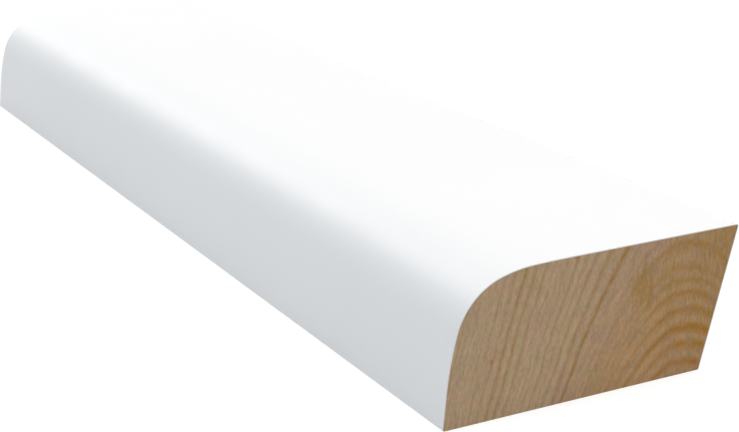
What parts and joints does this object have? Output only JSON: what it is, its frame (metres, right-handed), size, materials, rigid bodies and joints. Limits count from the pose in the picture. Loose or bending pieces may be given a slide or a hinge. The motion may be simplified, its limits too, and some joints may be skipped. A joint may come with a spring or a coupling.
{
  "type": "skirting board",
  "caption": "Short length of white painted softwood skirting with a rounded top edge, a flat front and an undercut floor edge.",
  "frame": {"origin": "on the plane of the board's back, under the middle of its length and of its width", "axes": "+X along the board, +Y across it towards the undercut floor edge, +Z from the back to the painted front"},
  "size_m": [0.1736, 0.0414, 0.018],
  "materials": {
    "white_painted_pine": "satin"
  },
  "bodies": {
    "root": {"skirting_board": "white_painted_pine"}
  },
  "joints": []
}
